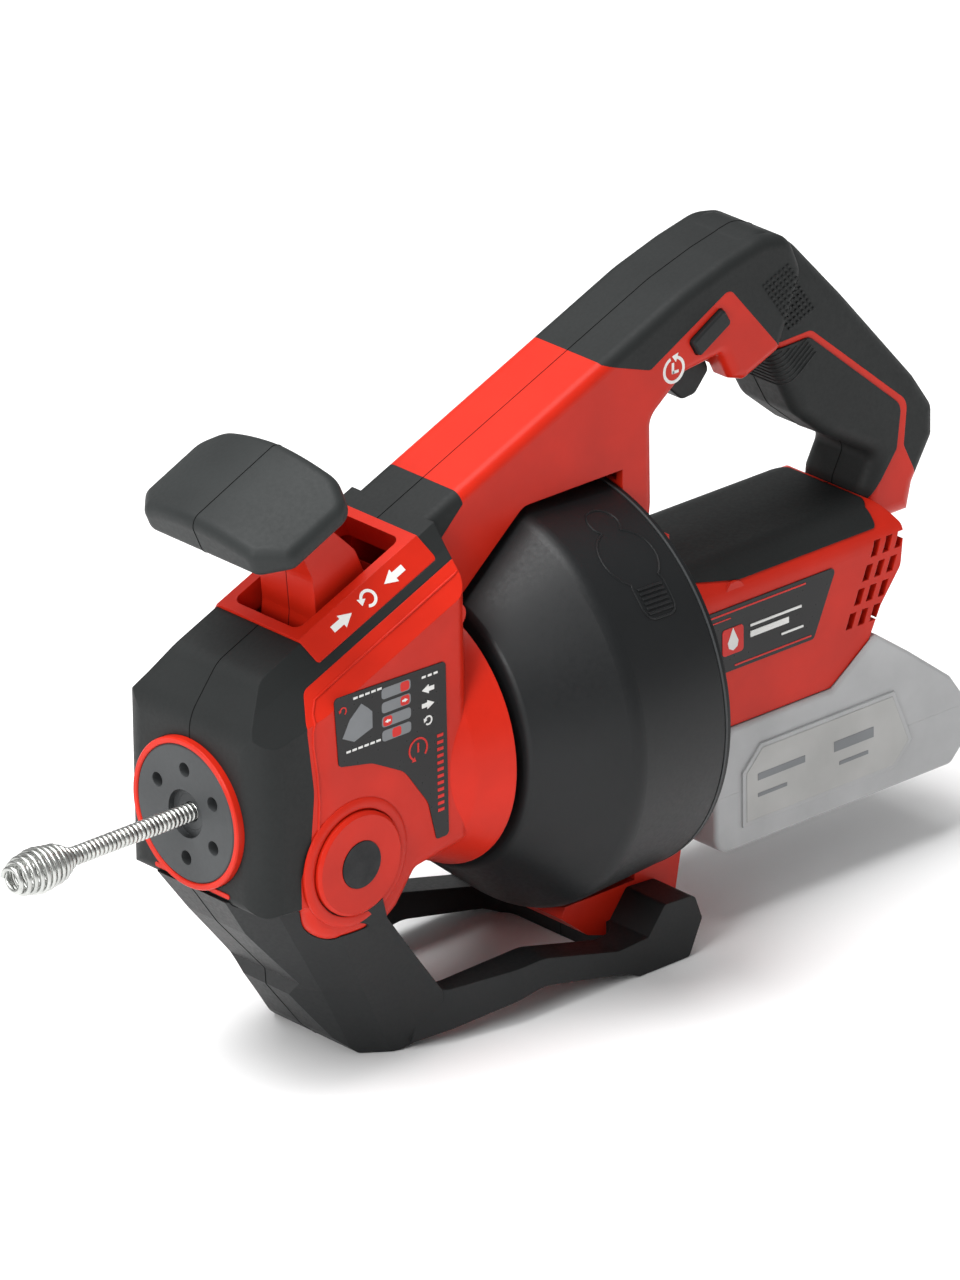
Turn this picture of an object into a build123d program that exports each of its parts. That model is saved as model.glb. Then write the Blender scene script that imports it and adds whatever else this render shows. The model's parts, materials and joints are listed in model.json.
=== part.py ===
from build123d import *
import math
import os

# A cordless hand-held drain auger: a spring cable on a spinning drum inside a split red housing.
# Millimetres. +X runs from the cable's tip to the handle, +Z is up, Y = 0 is the housing's parting
# plane, and Z = 0 is the surface that the stand rests on.

os.makedirs("parts", exist_ok=True)

# ---- driving dimensions -------------------------------------------------------------------------
axis_z = 116.0            # height of the cable and drum axis
cable_r = 4.0             # 8 mm close-wound spring cable
tip_x = -238.0            # end of the cable's bulb
nose_x = -145.0           # front face of the nose
nose_half = 44.0          # half widths across Y
arm_half = 22.0
grip_half = 19.0
motor_half = 36.0
stand_half = 50.0
battery_half = 38.0
wall = 3.0                # moulded wall
skin = 2.2                # soft black overmould
slope = 22.5              # rise of the arm and the shift gate, in degrees
gate_rear = (-45.0, 211.3)    # x and z of the slope line behind the gate
drum_rear_x = 62.0
drum_rim_r = 85.0
drum_crease = (12.0, 88.0)    # x and radius of the drum's widest crease
drum_front = (-22.0, 60.0)    # x and radius where the drum's cone ends
pivot = (-99.0, 94.5)     # x and z of the shift lever's pivot
disc_r = 21.6
plug_x = 39.0
plug_angle = 53.0         # drum plug, degrees up from the left side
gear_module = 0.75
sun_teeth = 18
planet_teeth = 21
ring_teeth = 60
gear_x = 90.0
gear_width = 7.0
run_gap = 0.05            # radial running clearance of shafts
move_gap = 0.4            # clearance between moving mouldings

drum_axis = Axis((0, 0, axis_z), (1, 0, 0))
rise = math.tan(math.radians(slope))
gate_plane = Plane(
    origin=(gate_rear[0], 0, gate_rear[1]),
    x_dir=(math.cos(math.radians(slope)), 0, math.sin(math.radians(slope))),
    z_dir=(-math.sin(math.radians(slope)), 0, math.cos(math.radians(slope))),
)


def top_z(x):
    """Height of the sloping top line at x."""
    return gate_rear[1] + (x - gate_rear[0]) * rise


def outline(corners, plane=Plane.XZ, inset=0.0):
    """A closed shape through corners (a, b) or (a, b, radius) on a plane, drawn inwards by inset."""
    with BuildSketch(plane) as sketch:
        with BuildLine():
            radii = [c[2] if len(c) > 2 else 0 for c in corners]
            FilletPolyline(*[(c[0], c[1]) for c in corners], radius=radii, close=True)
        make_face()
        if inset:
            offset(amount=-inset, kind=Kind.INTERSECTION, mode=Mode.REPLACE)
    return sketch.sketch


def turned(corners):
    """A half section for turning about the drum axis: corners are (x, radius from the axis)."""
    return outline([(c[0], axis_z + c[1], *c[2:]) for c in corners])


def across(x):
    """The plane square to the drum axis at x, with Y to its right."""
    return Plane(origin=(x, 0, axis_z), x_dir=(0, 1, 0), z_dir=(1, 0, 0))


def beside(y):
    """The side plane at Y = y, looking along +Y."""
    return Plane.XZ.offset(-y)


def drum_space(gap):
    """The space that the drum turns in, gap larger than the drum itself."""
    with BuildPart() as space:
        corners = [
            (drum_front[0] - gap, 0),
            (drum_front[0] - gap, drum_front[1] + 0.6 * gap),
            (drum_crease[0] - 0.3 * gap, drum_crease[1] + gap, 8),
            (drum_rear_x + 1.6, drum_crease[1] + gap),
            (drum_rear_x + 1.6, 0),
        ]
        revolve(turned(corners), axis=drum_axis)
    return space.part


# ---- outlines of the housing, seen from the side ------------------------------------------------
nose_outline = [
    (nose_x, 82, 5),
    (nose_x, 156, 18),
    (-130, top_z(-130) - 1, 14),
    (-38, top_z(-38)),
    (-38, 84, 4),
    (-66, 80, 4),
    (-76, 67, 3),
    (-86, 60, 3),
    (-118, 64, 18),
    (-124, 80, 2),
]
arm_outline = [
    (-60, 110),
    (-60, top_z(-60)),
    (98, top_z(98), 60),
    (121, 277.5, 40),
    (141, 282, 20),
    (156, 279, 12),
    (163, 262, 10),
    (150, 231, 3),
    (131, 223.5, 2),
    (124, 226, 1),
    (118, 238, 2),
    (99, 235.8, 3),
    (81, 222, 7),
    (81, 186, 8),
    (78, 160),
    (78, 110),
]
grip_outline = [
    (126, 262),
    (128, 279.5, 12),
    (146, 283, 14),
    (163, 272, 20),
    (190, 242, 30),
    (229, 196, 20),
    (239, 181, 7),
    (239, 168, 5),
    (228, 150),
    (225, 138),
    (197, 138),
    (199, 156, 6),
    (206, 169, 5),
    (192, 177.5, 8),
    (180, 184.5, 14),
    (163, 199, 12),
    (154, 216, 9),
    (146, 232, 6),
    (130, 240),
]
motor_outline = [
    (68, 85),
    (68, 154),
    (197, 154, 4),
    (204, 144, 6),
    (202, 127, 6),
    (191, 113, 6),
    (184, 99),
    (163, 85),
]
wall_outline = [(64, 60), (64, 175), (81, 175), (81, 60)]

# ---- one-piece solids that the housing's shells are cut from ------------------------------------


def slab(corners, half, inset, rounding):
    """A plate across Y with its outline's edges rounded, or left square where it only hollows."""
    with BuildPart() as block:
        extrude(outline(corners, inset=inset), amount=half - inset, both=True)
        if inset < wall:
            fillet(block.edges().filter_by(Axis.Y, reverse=True), rounding - max(inset, 0))
    return block.part


def nose_block(inset):
    """The nose box, with its long top corners chamfered as the gate needs."""
    with BuildPart() as block:
        add(slab(nose_outline, nose_half, inset, 6))
        half, deep = nose_half - inset, -inset
        profile = [(-24, deep), (24, deep), (31, deep - 8), (half, deep - 21), (half, -230)]
        profile = profile + [(-half, -230), (-half, deep - 21), (-31, deep - 8)]
        across_slope = Plane(origin=gate_plane.origin, x_dir=(0, 1, 0), z_dir=gate_plane.x_dir)
        extrude(outline(profile, across_slope), amount=300, both=True, mode=Mode.INTERSECT)
        front_x = nose_x + inset
        corner_r = 13 - inset
        plan = [(front_x, 3 - half, corner_r), (-112, -half, 30), (0, -half)]
        plan = plan + [(corner[0], -corner[1], *corner[2:]) for corner in reversed(plan)]
        extrude(outline(plan, Plane.XY), amount=300, mode=Mode.INTERSECT)
    return block.part


def arm_block(inset):
    """The sloping arm above the drum and the web behind it."""
    return slab(arm_outline, arm_half, inset, 5)


def grip_block(inset):
    """The grip and the pillar that carries it."""
    return slab(grip_outline, grip_half, inset, 7)


def motor_block(inset):
    """The motor's barrel, rounded along its top."""
    with BuildPart() as block:
        extrude(outline(motor_outline, inset=inset), amount=motor_half - inset, both=True)
        half = motor_half - inset
        top_z = max(corner[1] for corner in motor_outline) - inset
        rounding = 16 - inset
        profile = [(-half, 60), (-half, top_z, rounding), (half, top_z, rounding), (half, 60)]
        extrude(outline(profile, Plane.YZ), amount=300, both=True, mode=Mode.INTERSECT)
    return block.part


screw_places = [
    (-44, 182, nose_half),
    (-60, 101, nose_half),
    (4, 219, arm_half),
    (68, 232, arm_half),
    (72.5, 70, 30),
    (176, 103, motor_half),
    (112, 141.7, motor_half),
]

with BuildPart() as outer:
    add(nose_block(0))
    revolve(
        turned([(-66, 30), (-50, 43.6), (-41, 50.5, 6), (-24, 58.5, 1.5), (-24, 54), (-40, 44)]),
        axis=drum_axis,
    )
    add(arm_block(0))
    add(grip_block(0))
    add(motor_block(0))
    extrude(outline(wall_outline), amount=30, both=True)
    add(drum_space(4.2), mode=Mode.SUBTRACT)
    with BuildSketch(across(-40)):
        Circle(44)
    extrude(amount=20, mode=Mode.SUBTRACT)

with BuildPart() as hollow:
    add(nose_block(skin + wall))
    add(arm_block(wall + 0.6))
    add(grip_block(wall + 0.6))
    add(motor_block(wall))
    add(drum_space(4.2 + wall), mode=Mode.SUBTRACT)
    extrude(outline([(60, 60), (60, 200), (83, 200), (83, 60)]), amount=60, both=True, mode=Mode.SUBTRACT)
    with BuildSketch(across(-62)):
        Circle(60)
    extrude(amount=40, mode=Mode.SUBTRACT)

# ---- the gate that the shift lever moves in -----------------------------------------------------
gate_front_u = -69.0
gate_rear_u = -2.0
slot_half = 19.2
with BuildPart() as shift_gate:
    profile = [(-24, 0.8), (24, 0.8), (31.6, -8.2), (31.6, -11), (-31.6, -11), (-31.6, -8.2)]
    gate_section = Plane(
        origin=gate_plane.origin + gate_plane.x_dir * gate_front_u,
        x_dir=(0, 1, 0),
        z_dir=gate_plane.x_dir,
    )
    extrude(outline(profile, gate_section), amount=gate_rear_u - gate_front_u)
    fillet(shift_gate.edges().filter_by(Axis((0, 0, 0), gate_plane.z_dir)), 1.2)
    with BuildSketch(gate_plane.offset(-20)):
        with Locations(((gate_front_u + gate_rear_u) / 2, 0)):
            RectangleRounded(gate_rear_u - gate_front_u - 9, 2 * slot_half, 4)
    extrude(amount=30, mode=Mode.SUBTRACT)
shift_gate.part.label = "shift_gate"
export_step(shift_gate.part, "parts/shift_gate.step")

# ---- black overmould on the nose and behind the gate --------------------------------------------
nose_zone = [
    (-160, 60),
    (-126, 60),
    (-126, 95, 8),
    (-121, 108, 12),
    (-119, 130, 30),
    (-122, 158, 8),
    (-116, 169.5, 6),
    (-34, 203.5, 6),
    (-21, 216),
    (-24, 232),
    (-160, 232),
]
with BuildPart() as nose_skin:
    add(outer.part)
    extrude(outline(nose_zone), amount=80, both=True, mode=Mode.INTERSECT)
    add(nose_block(skin), mode=Mode.SUBTRACT)
    add(arm_block(skin), mode=Mode.SUBTRACT)
    add(shift_gate.part, mode=Mode.SUBTRACT)
    with BuildSketch(gate_plane.offset(-24)):
        with Locations(((gate_front_u + gate_rear_u) / 2, 0)):
            RectangleRounded(gate_rear_u - gate_front_u - 9, 2 * slot_half, 4)
    extrude(amount=30, mode=Mode.SUBTRACT)
    with BuildSketch(across(nose_x - 8)):
        Circle(31.4)
    extrude(amount=20, mode=Mode.SUBTRACT)
with BuildPart() as nose_cover_left:
    add(nose_skin.part)
    split(bisect_by=Plane.XZ, keep=Keep.TOP)
nose_cover_left.part.label = "nose_cover_left"
export_step(nose_cover_left.part, "parts/nose_cover_left.step")
with BuildPart() as nose_cover_right:
    mirror(nose_cover_left.part, about=Plane.XZ)
nose_cover_right.part.label = "nose_cover_right"
export_step(nose_cover_right.part, "parts/nose_cover_right.step")

# ---- black overmould along the top of the handle ------------------------------------------------
handle_zone = [
    (47, 270),
    (55, 252),
    (79, 243.5, 3),
    (122, 266, 4),
    (149, 233.5, 2),
    (169, 234, 5),
    (222, 188, 8),
    (220, 169, 3),
    (229, 150),
    (250, 150),
    (250, 200),
    (180, 300),
    (47, 300),
]
with BuildPart() as handle_skin:
    add(outer.part)
    extrude(outline(handle_zone), amount=80, both=True, mode=Mode.INTERSECT)
    add(arm_block(skin), mode=Mode.SUBTRACT)
    add(grip_block(skin), mode=Mode.SUBTRACT)
with BuildPart() as handle_cover_left:
    add(handle_skin.part)
    split(bisect_by=Plane.XZ, keep=Keep.TOP)
handle_cover_left.part.label = "handle_cover_left"
export_step(handle_cover_left.part, "parts/handle_cover_left.step")
with BuildPart() as handle_cover_right:
    mirror(handle_cover_left.part, about=Plane.XZ)
handle_cover_right.part.label = "handle_cover_right"
export_step(handle_cover_right.part, "parts/handle_cover_right.step")

# ---- soft pads under the grip -------------------------------------------------------------------
pad_zone = [
    (140, 226),
    (150.5, 231, 3),
    (167.5, 231.5, 5),
    (218, 187.5, 7),
    (215.5, 169, 3),
    (207, 158, 2),
    (190, 140),
    (150, 190),
]
with BuildPart() as pad_skin:
    add(grip_block(-0.7))
    extrude(outline(pad_zone), amount=80, both=True, mode=Mode.INTERSECT)
    add(grip_block(skin), mode=Mode.SUBTRACT)
    add(motor_block(0), mode=Mode.SUBTRACT)
    add(arm_block(0), mode=Mode.SUBTRACT)
with BuildPart() as grip_pad_left:
    add(pad_skin.part)
    split(bisect_by=Plane.XZ, keep=Keep.TOP)
grip_pad_left.part.label = "grip_pad_left"
export_step(grip_pad_left.part, "parts/grip_pad_left.step")
with BuildPart() as grip_pad_right:
    mirror(grip_pad_left.part, about=Plane.XZ)
grip_pad_right.part.label = "grip_pad_right"
export_step(grip_pad_right.part, "parts/grip_pad_right.step")

# ---- black cover over the motor -----------------------------------------------------------------
cover_zone = [(80, 160), (80, 153), (115, 146.5, 2), (190, 146.5, 2), (191, 153), (206, 160)]
with BuildPart() as motor_cover:
    add(motor_block(-0.5))
    extrude(outline(cover_zone), amount=80, both=True, mode=Mode.INTERSECT)
    add(motor_block(skin), mode=Mode.SUBTRACT)
    add(grip_block(0), mode=Mode.SUBTRACT)
    add(arm_block(0), mode=Mode.SUBTRACT)
motor_cover.part.label = "motor_cover"
export_step(motor_cover.part, "parts/motor_cover.step")

# ---- trigger and direction bar ------------------------------------------------------------------
trigger_half = 9.5
trigger_pivot = (98.5, 236.5)
trigger_space = [(93, 243), (94.5, 226), (112, 208), (133, 214), (132, 242), (114, 242)]
bar_centre = (110.5, 251.0)
bar_size = (20.0, 8.6)
bar_angle = 29.5
with BuildPart() as trigger:
    shape = [
        (94.5, 240, 2),
        (99, 227, 5),
        (108, 218.4, 4),
        (115, 219, 4),
        (122.5, 227.5, 3),
        (118.5, 238, 2),
        (112, 240.5, 2),
    ]
    extrude(outline(shape), amount=trigger_half, both=True)
    rim = trigger.faces().filter_by(Axis.Y)
    fillet(rim.edges(), 1.6)
    with BuildSketch(beside(-trigger_half)):
        with Locations(trigger_pivot):
            Circle(2.0 + run_gap)
    extrude(amount=-2 * trigger_half, mode=Mode.SUBTRACT)
trigger.part.label = "trigger"
export_step(trigger.part, "parts/trigger.step")

with BuildPart() as trigger_pin:
    with BuildSketch(beside(-15)):
        with Locations(trigger_pivot):
            Circle(2.0)
    extrude(amount=-30)
trigger_pin.part.label = "trigger_pin"
export_step(trigger_pin.part, "parts/trigger_pin.step")

with BuildPart() as direction_bar:
    with BuildSketch(beside(-24.5)):
        with Locations(Location((bar_centre[0], bar_centre[1], 0), (0, 0, bar_angle))):
            RectangleRounded(bar_size[0] - move_gap, bar_size[1] - move_gap, 1.6)
    extrude(amount=-49)
    chamfer(direction_bar.faces().filter_by(Axis.Y).edges(), 0.8)
direction_bar.part.label = "direction_bar"
export_step(direction_bar.part, "parts/direction_bar.step")

with BuildPart() as switch_module:
    with BuildSketch(beside(-11)):
        with Locations(Location((139, 249, 0), (0, 0, 20))):
            RectangleRounded(18, 24, 2)
    extrude(amount=-22)
switch_module.part.label = "switch_module"
export_step(switch_module.part, "parts/switch_module.step")

# ---- red housing, in two halves -----------------------------------------------------------------
rail_space = [(-20, 84), (-20, 88.6), (-24.4, 88.6), (-24.4, 93), (24.4, 93), (24.4, 88.6), (20, 88.6), (20, 84)]
with BuildPart() as housing:
    add(outer.part)
    add(hollow.part, mode=Mode.SUBTRACT)
    for x, z, half in screw_places:
        with BuildSketch(beside(-half + 1)):
            with Locations((x, z)):
                Circle(5.2)
        extrude(amount=-2 * half + 2)
    for skin_part in (nose_skin, handle_skin, pad_skin, motor_cover, shift_gate):
        add(skin_part.part, mode=Mode.SUBTRACT)
    # slot for the lever, and the bores on the drum axis
    with BuildSketch(gate_plane.offset(-30)):
        with Locations(((gate_front_u + gate_rear_u) / 2, 0)):
            RectangleRounded(gate_rear_u - gate_front_u - 9, 2 * slot_half, 4)
    extrude(amount=40, mode=Mode.SUBTRACT)
    with BuildSketch(across(nose_x - 8)):
        Circle(31.4)
    extrude(amount=16, mode=Mode.SUBTRACT)
    with BuildSketch(across(-62)):
        Circle(14)
    extrude(amount=60, mode=Mode.SUBTRACT)
    with BuildSketch(across(-54)):
        Circle(20)
    extrude(amount=12, mode=Mode.SUBTRACT)
    with BuildSketch(across(60)):
        Circle(8)
    extrude(amount=40, mode=Mode.SUBTRACT)
    with BuildSketch(across(66)):
        Circle(14)
    extrude(amount=10, mode=Mode.SUBTRACT)
    # seat for the gearbox case behind the wall
    with BuildSketch(across(82)):
        Circle(27.4)
    extrude(amount=19, mode=Mode.SUBTRACT)
    # seats for the lever's side discs
    with BuildSketch(beside(-60)):
        with Locations(pivot):
            Circle(disc_r + move_gap)
    extrude(amount=-120, mode=Mode.SUBTRACT)
    # trigger, pin and direction bar
    extrude(outline(trigger_space), amount=trigger_half + 0.6, both=True, mode=Mode.SUBTRACT)
    with BuildSketch(beside(-15)):
        with Locations(trigger_pivot):
            Circle(2.0)
    extrude(amount=-30, mode=Mode.SUBTRACT)
    with BuildSketch(beside(-40)):
        with Locations(Location((bar_centre[0], bar_centre[1], 0), (0, 0, bar_angle))):
            RectangleRounded(bar_size[0] + move_gap, bar_size[1] + move_gap, 1.8)
    extrude(amount=-80, mode=Mode.SUBTRACT)
    # rail channel for the battery, open to the rear
    extrude(
        outline(rail_space, Plane(origin=(104, 0, 0), x_dir=(0, 1, 0), z_dir=(1, 0, 0))),
        amount=120,
        mode=Mode.SUBTRACT,
    )
    # cooling slots beside the fan
    for row in range(4):
        for column in range(3):
            low_x = 171.5 + 4.6 * row + 6.6 * column
            low_z = 107.5 + 9.3 * row
            slot = [(low_x, low_z), (low_x + 3.6, low_z), (low_x + 6.2, low_z + 6.4), (low_x + 2.6, low_z + 6.4)]
            extrude(outline(slot), amount=60, both=True, mode=Mode.SUBTRACT)
    for x, z, half in screw_places:
        with BuildSketch(beside(half - 6)):
            with Locations((x, z)):
                Circle(2.0)
        extrude(amount=half + 6, mode=Mode.SUBTRACT)
        with BuildSketch(beside(half - 6)):
            with Locations((x, z)):
                Circle(3.9)
        extrude(amount=-10, mode=Mode.SUBTRACT)
with BuildPart() as housing_left:
    add(housing.part)
    split(bisect_by=Plane.XZ, keep=Keep.TOP)
housing_left.part.label = "housing_left"
export_step(housing_left.part, "parts/housing_left.step")
with BuildPart() as housing_right:
    add(housing.part)
    split(bisect_by=Plane.XZ, keep=Keep.BOTTOM)
housing_right.part.label = "housing_right"
export_step(housing_right.part, "parts/housing_right.step")

# ---- stand: guard, rails and rear cross-member, in two halves -----------------------------------
rail_inner = 35.0
guard_inner = 28.0


def guard_section(z, corners):
    """The guard's faceted outline at height z, from its left corners as (x, half width), front to back."""
    left = [(corner[0], -corner[1]) for corner in corners]
    right = [(corner[0], corner[1]) for corner in reversed(corners)]
    return outline(left + right, Plane.XY.offset(z))


with BuildPart() as guard_hull:
    guard_sections = [
        guard_section(-1, [(-94, 4), (-84, 24), (-72, 33), (-40, 44)]),
        guard_section(34, [(-112, 12), (-103, 27), (-91, 38), (-40, 47)]),
        guard_section(90, [(-150, 21), (-138, 36), (-120, 47), (-40, stand_half)]),
    ]
    loft(guard_sections, ruled=True)
with BuildPart() as stand:
    guard = [
        (-147, 84),
        (-145, 79),
        (-109, 37),
        (-108.5, 30),
        (-91, 7, 4),
        (-83, 0, 2),
        (-69, 0, 3),
        (-52, 7, 20),
        (-54, 24, 8),
        (-84, 66),
        (-90, 84),
    ]
    extrude(outline(guard), amount=stand_half, both=True)
    add(guard_hull.part, mode=Mode.INTERSECT)
    inside = [(-130, 90), (-96, 44), (-92, 30), (-78, 9), (-40, -20), (-40, 90)]
    extrude(outline(inside), amount=guard_inner, both=True, mode=Mode.SUBTRACT)
    with BuildPart(mode=Mode.PRIVATE) as rails:
        rail = [
            (-66, 3),
            (-60, 26),
            (-52, 23.5, 8),
            (-6, 24.5, 20),
            (34, 14.5, 12),
            (50, 15.5),
            (59, 27, 2),
            (75, 26, 3),
            (79, 15, 2),
            (72, 0, 2),
            (45, 0, 2),
            (37, 3.5, 4),
            (-6, 12.5, 20),
            (-50, 6, 20),
        ]
        extrude(outline(rail), amount=stand_half, both=True)
        with BuildSketch():
            with Locations((-4, 0)):
                RectangleRounded(104, 2 * rail_inner, 9)
        extrude(amount=60, mode=Mode.SUBTRACT)
        plan = [(-70, -36), (-50, -44), (-20, -stand_half, 30), (90, -stand_half)]
        plan = plan + [(c[0], -c[1], *c[2:]) for c in reversed(plan)]
        extrude(outline(plan, Plane.XY), amount=90, mode=Mode.INTERSECT)
    add(rails.part)
    add(nose_block(-0.3), mode=Mode.SUBTRACT)
    add(drum_space(3.4), mode=Mode.SUBTRACT)
    for side in (-1, 1):
        with BuildSketch(beside(side * 43)):
            with Locations(pivot):
                Circle(disc_r + move_gap)
        extrude(amount=-side * 10, mode=Mode.SUBTRACT)
with BuildPart() as stand_bracket:
    corners = [
        (24, 24),
        (38, 12.5, 3),
        (52, 8),
        (84, 8, 3),
        (89, 34, 6),
        (84, 70),
        (81, 84.5),
        (64.5, 84.5),
        (40, 60),
    ]
    extrude(outline(corners), amount=27, both=True)
    add(drum_space(3.4), mode=Mode.SUBTRACT)
    for side in (-1, 1):
        with BuildSketch(Plane.XY.offset(40)):
            with Locations((76, side * 15)):
                RectangleRounded(11, 16, 2)
        extrude(amount=-40, mode=Mode.SUBTRACT)
    add(outer.part, mode=Mode.SUBTRACT)
stand_bracket.part.label = "stand_bracket"
export_step(stand_bracket.part, "parts/stand_bracket.step")
with BuildPart() as stand_left:
    add(stand.part)
    add(stand_bracket.part, mode=Mode.SUBTRACT)
    split(bisect_by=Plane.XZ, keep=Keep.TOP)
stand_left.part.label = "stand_left"
export_step(stand_left.part, "parts/stand_left.step")
with BuildPart() as stand_right:
    mirror(stand_left.part, about=Plane.XZ)
stand_right.part.label = "stand_right"
export_step(stand_right.part, "parts/stand_right.step")

# ---- nose plate, its ring and the cable's guide bush --------------------------------------------
with BuildPart() as nose_ring:
    with BuildSketch(across(nose_x - 3.2)):
        Circle(31.3)
        Circle(28.6, mode=Mode.SUBTRACT)
    extrude(amount=9)
    chamfer(nose_ring.faces().sort_by(Axis.X)[0].edges(), 0.5)
nose_ring.part.label = "nose_ring"
export_step(nose_ring.part, "parts/nose_ring.step")

with BuildPart() as nose_plate:
    with BuildSketch(across(nose_x - 3)):
        Circle(28.5)
    extrude(amount=8)
    with BuildSketch(across(nose_x - 3)):
        Circle(10)
    extrude(amount=3, mode=Mode.SUBTRACT)
    with BuildSketch(across(nose_x - 3)):
        Circle(7.5)
        with PolarLocations(18.8, 6, start_angle=90):
            Circle(3)
    extrude(amount=8, mode=Mode.SUBTRACT)
    chamfer(nose_plate.faces().sort_by(Axis.X)[0].edges().group_by(SortBy.RADIUS)[-1], 0.6)
nose_plate.part.label = "nose_plate"
export_step(nose_plate.part, "parts/nose_plate.step")

with BuildPart() as guide_bush:
    with BuildSketch(across(nose_x)):
        Circle(7.5)
        Circle(cable_r + 0.08, mode=Mode.SUBTRACT)
    extrude(amount=8)
guide_bush.part.label = "guide_bush"
export_step(guide_bush.part, "parts/guide_bush.step")

# ---- feed head: three rollers round the cable ---------------------------------------------------
roller_r = 6.5
roller_pitch = cable_r + roller_r + 0.3
with BuildPart() as feed_head:
    with BuildSketch(across(-137)):
        Circle(20)
        Circle(cable_r + 1.2, mode=Mode.SUBTRACT)
    extrude(amount=22)
    with BuildSketch(across(-133.5)):
        with PolarLocations(roller_pitch, 3, start_angle=90):
            Circle(roller_r + move_gap)
    extrude(amount=15, mode=Mode.SUBTRACT)
    with BuildSketch(across(-137)):
        with PolarLocations(roller_pitch, 3, start_angle=90):
            Circle(2)
    extrude(amount=22, mode=Mode.SUBTRACT)
feed_head.part.label = "feed_head"
export_step(feed_head.part, "parts/feed_head.step")

with BuildPart() as roller_pins:
    with BuildSketch(across(-137)):
        with PolarLocations(roller_pitch, 3, start_angle=90):
            Circle(2)
    extrude(amount=22)
roller_pins.part.label = "roller_pins"
export_step(roller_pins.part, "parts/roller_pins.step")

for number in range(3):
    with BuildPart() as roller:
        with BuildSketch(across(-133)):
            with PolarLocations(roller_pitch, 1, start_angle=90 + 120 * number):
                Circle(roller_r)
                Circle(2 + run_gap, mode=Mode.SUBTRACT)
        extrude(amount=14)
    roller.part.label = f"feed_roller_{number + 1}"
    export_step(roller.part, f"parts/feed_roller_{number + 1}.step")

# ---- drum ---------------------------------------------------------------------------------------
drum_wall = 3.0
plug_plane = Plane(
    origin=(plug_x, 0, axis_z),
    x_dir=(1, 0, 0),
    z_dir=(0, -math.cos(math.radians(plug_angle)), math.sin(math.radians(plug_angle))),
)


def plug_outline(gap):
    """The plug's outline: a round cap with a small lobe above it and a finger tab below."""
    with BuildSketch(plug_plane.offset(60)) as sketch:
        Circle(13.6 + gap)
        with Locations((1, 18)):
            Circle(7 + gap)
        with Locations((1, -18)):
            RectangleRounded(17 + 2 * gap, 18 + 2 * gap, 5)
    return sketch.sketch


with BuildPart() as drum_shell:
    corners = [
        (drum_front[0], 11.05),
        (drum_front[0], drum_front[1], 4),
        (drum_crease[0], drum_crease[1], 9),
        (60, 85.1, 1),
        (60, 81.5),
        (drum_crease[0] + 1, drum_crease[1] - drum_wall - 0.6, 6),
        (drum_front[0] + 3, drum_front[1] - drum_wall - 0.6, 2),
        (drum_front[0] + 3, 11.05),
    ]
    revolve(turned(corners), axis=drum_axis)
    extrude(plug_outline(0.3), amount=60, mode=Mode.SUBTRACT)
drum_shell.part.label = "drum_shell"
export_step(drum_shell.part, "parts/drum_shell.step")

with BuildPart() as drum_plug:
    revolve(turned(corners), axis=drum_axis)
    extrude(plug_outline(0), amount=60, mode=Mode.INTERSECT)
drum_plug.part.label = "drum_plug"
export_step(drum_plug.part, "parts/drum_plug.step")

with BuildPart() as drum_seal:
    with BuildSketch(across(60)):
        Circle(drum_rim_r + 0.3)
        Circle(81.5, mode=Mode.SUBTRACT)
    extrude(amount=0.8)
drum_seal.part.label = "drum_seal"
export_step(drum_seal.part, "parts/drum_seal.step")

with BuildPart() as drum_back:
    with BuildSketch(across(60.8)):
        Circle(drum_rim_r - 0.2)
        Circle(6, mode=Mode.SUBTRACT)
    extrude(amount=2)
    with BuildSketch(across(57)):
        Circle(81.4)
        Circle(78.5, mode=Mode.SUBTRACT)
    extrude(amount=3)
    with BuildSketch(across(60)):
        Circle(81.4)
        Circle(6, mode=Mode.SUBTRACT)
    extrude(amount=1)
    with BuildSketch(across(54)):
        Circle(13)
        Circle(6, mode=Mode.SUBTRACT)
    extrude(amount=7)
drum_back.part.label = "drum_back"
export_step(drum_back.part, "parts/drum_back.step")

with BuildPart() as drum_spindle:
    with BuildSketch(across(-58)):
        Circle(11)
        Circle(cable_r + 1, mode=Mode.SUBTRACT)
    extrude(amount=42)
    with BuildSketch(across(drum_front[0] + 3)):
        Circle(20)
        Circle(cable_r + 1, mode=Mode.SUBTRACT)
    extrude(amount=3)
drum_spindle.part.label = "drum_spindle"
export_step(drum_spindle.part, "parts/drum_spindle.step")

with BuildPart() as cable_coil:
    for layer in range(3):
        for turn in range(4):
            section = Plane(origin=(16 + 9 * turn, 0, axis_z + 77 - 8.5 * layer), x_dir=(1, 0, 0), z_dir=(0, -1, 0))
            with BuildSketch(section):
                Circle(cable_r)
            revolve(axis=drum_axis)
cable_coil.part.label = "cable_coil"
export_step(cable_coil.part, "parts/cable_coil.step")

with BuildPart() as front_bearing:
    with BuildSketch(across(-54)):
        Circle(20)
        Circle(11 + run_gap, mode=Mode.SUBTRACT)
    extrude(amount=12)
front_bearing.part.label = "front_bearing"
export_step(front_bearing.part, "parts/front_bearing.step")

with BuildPart() as rear_bearing:
    with BuildSketch(across(66)):
        Circle(14)
        Circle(6 + run_gap, mode=Mode.SUBTRACT)
    extrude(amount=10)
rear_bearing.part.label = "rear_bearing"
export_step(rear_bearing.part, "parts/rear_bearing.step")

# ---- auger cable on the axis --------------------------------------------------------------------
with BuildPart() as auger_cable:
    with BuildSketch(across(-204)):
        Circle(cable_r)
    extrude(amount=204)
auger_cable.part.label = "auger_cable"
export_step(auger_cable.part, "parts/auger_cable.step")

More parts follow.
